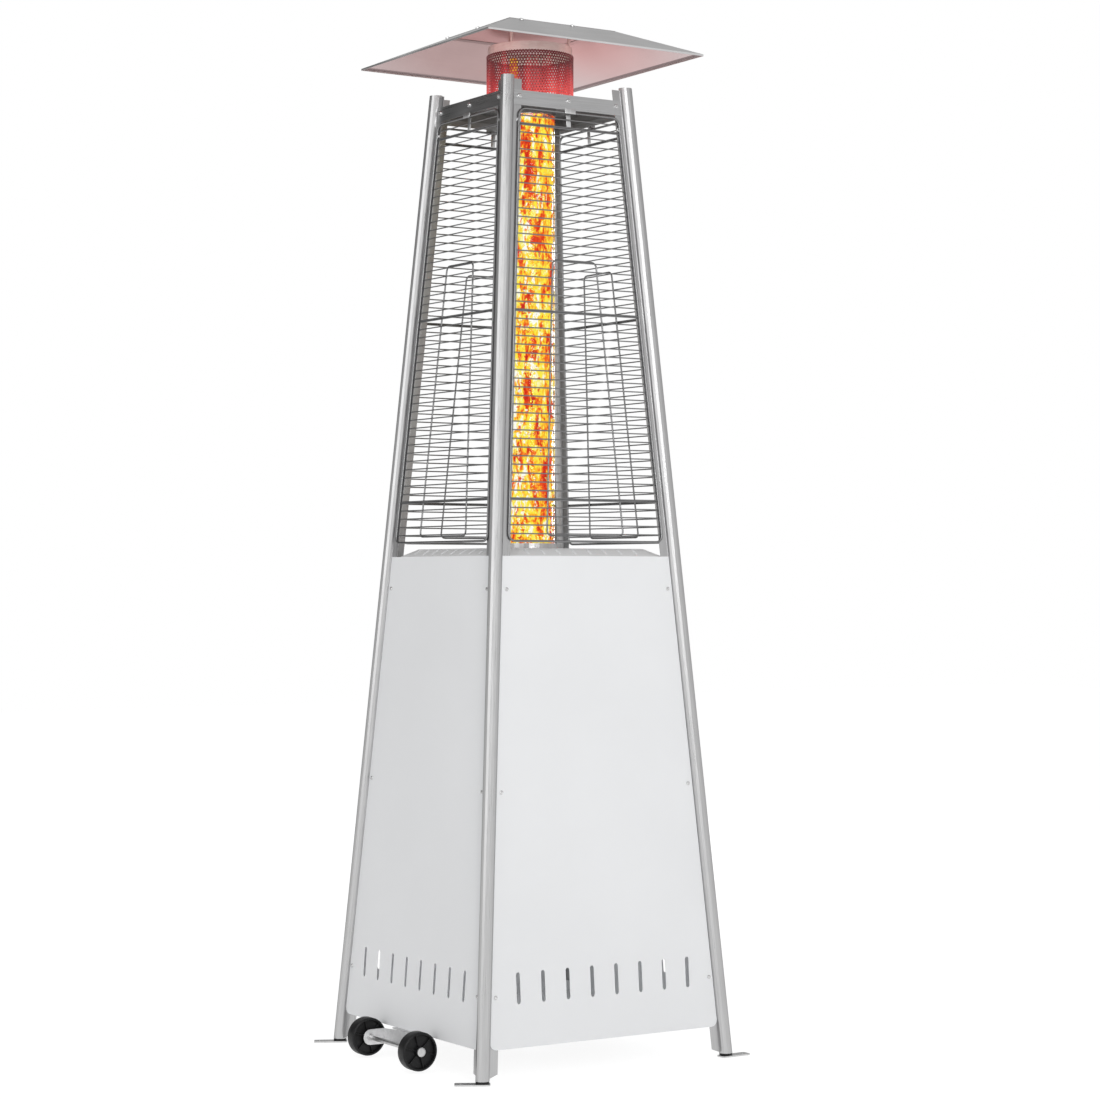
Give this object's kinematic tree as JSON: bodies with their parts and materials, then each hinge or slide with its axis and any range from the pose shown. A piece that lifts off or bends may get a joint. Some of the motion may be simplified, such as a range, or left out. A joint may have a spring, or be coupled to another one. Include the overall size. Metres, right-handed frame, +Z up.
{
  "type": "pyramid patio heater",
  "caption": "Free-standing gas patio heater with leaning posts, panelled cylinder bay with a door, glass flame tube behind wire guards, perforated emitter, square hood and rear wheels.",
  "frame": {"origin": "on the ground, under the middle of the square of posts; the wheels reach past the rear face, so the middle of the whole outline lies about 12 mm behind it", "axes": "+Z up, -Y the front with the door and the controls, +Y the rear with the wheels, +X to the right as seen from the front"},
  "size_m": [0.6792, 0.7655, 2.2696],
  "materials": {
    "steel": "brushed stainless steel, brushed along the posts",
    "wire_steel": "plain bright wire",
    "white_paint": "satin white powder coat",
    "black_plastic": "matt moulding",
    "quartz_glass": "clear tube",
    "hot_screen": "perforated sheet, glowing red with heat",
    "valve_brass": "as cast"
  },
  "bodies": {
    "frame": {"post_rear_left": "steel", "post_rear_right": "steel", "post_front_left": "steel", "post_front_right": "steel", "foot_plug_rear_left": "black_plastic", "foot_plug_rear_right": "black_plastic", "foot_plug_front_left": "black_plastic", "foot_plug_front_right": "black_plastic", "foot_plate_rear_left": "steel", "foot_plate_rear_right": "steel", "foot_plate_front_left": "steel", "foot_plate_front_right": "steel", "side_panel_left": "white_paint", "side_panel_rear": "white_paint", "side_panel_right": "white_paint", "control_panel": "white_paint", "door_hinge_lower": "steel", "door_hinge_upper": "steel", "base_shelf": "steel", "wheel_bracket": "steel", "axle": "steel", "gas_valve": "valve_brass", "igniter_body": "black_plastic", "burner_pipe": "steel", "burner_head": "steel", "pilot_assembly": "steel", "burner_deck": "white_paint", "glass_seat_ring": "steel", "glass_tube": "quartz_glass", "glass_top_ring": "steel", "guard_front": "wire_steel", "guard_left": "wire_steel", "guard_rear": "wire_steel", "guard_right": "wire_steel", "guard_loop_front": "wire_steel", "guard_loop_left": "wire_steel", "guard_loop_rear": "wire_steel", "guard_loop_right": "wire_steel", "top_rail_front": "steel", "top_rail_left": "steel", "top_rail_rear": "steel", "top_rail_right": "steel", "emitter_plate": "steel", "emitter_screen": "hot_screen", "emitter_band": "steel", "hood_standoff_1": "steel", "hood_standoff_2": "steel", "hood_standoff_3": "steel", "hood_top": "steel", "hood_panel_front": "steel", "hood_panel_left": "steel", "hood_panel_rear": "steel", "hood_panel_right": "steel"},
    "door_leaf": {"door": "white_paint", "door_pull": "steel"},
    "left_wheel": {"wheel_left": "black_plastic"},
    "right_wheel": {"wheel_right": "black_plastic"},
    "stem": {"valve_stem": "steel"},
    "knob": {"control_knob": "black_plastic"},
    "button": {"igniter_button": "black_plastic"}
  },
  "joints": [
    {"name": "wheel_left_spin", "type": "hinge", "parent": "frame", "child": "left_wheel", "pos_m": [-0.1123, 0.3531, 0.045], "axis": [1, 0, 0], "continuous": true},
    {"name": "wheel_right_spin", "type": "hinge", "parent": "frame", "child": "right_wheel", "pos_m": [0.1123, 0.3531, 0.045], "axis": [1, 0, 0], "continuous": true},
    {"name": "door_swing", "type": "hinge", "parent": "frame", "child": "door_leaf", "pos_m": [0.28914, -0.31324, 0.068], "axis": [-0.074, 0.074, 0.9945], "range_deg": [0, 100]},
    {"name": "valve_push", "type": "slide", "parent": "frame", "child": "stem", "axis": [0, 0.9972, -0.0742], "range_m": [0, 0.004], "stiffness_N_per_m": 800, "springref_m": -0.002},
    {"name": "knob_turn", "type": "hinge", "parent": "stem", "child": "knob", "pos_m": [0, -0.23941, 0.985], "axis": [0, -0.9972, 0.0742], "range_deg": [0, 180]},
    {"name": "igniter_push", "type": "slide", "parent": "frame", "child": "button", "axis": [0, 0.9972, -0.0742], "range_m": [0, 0.005], "stiffness_N_per_m": 1200, "springref_m": -0.002}
  ]
}
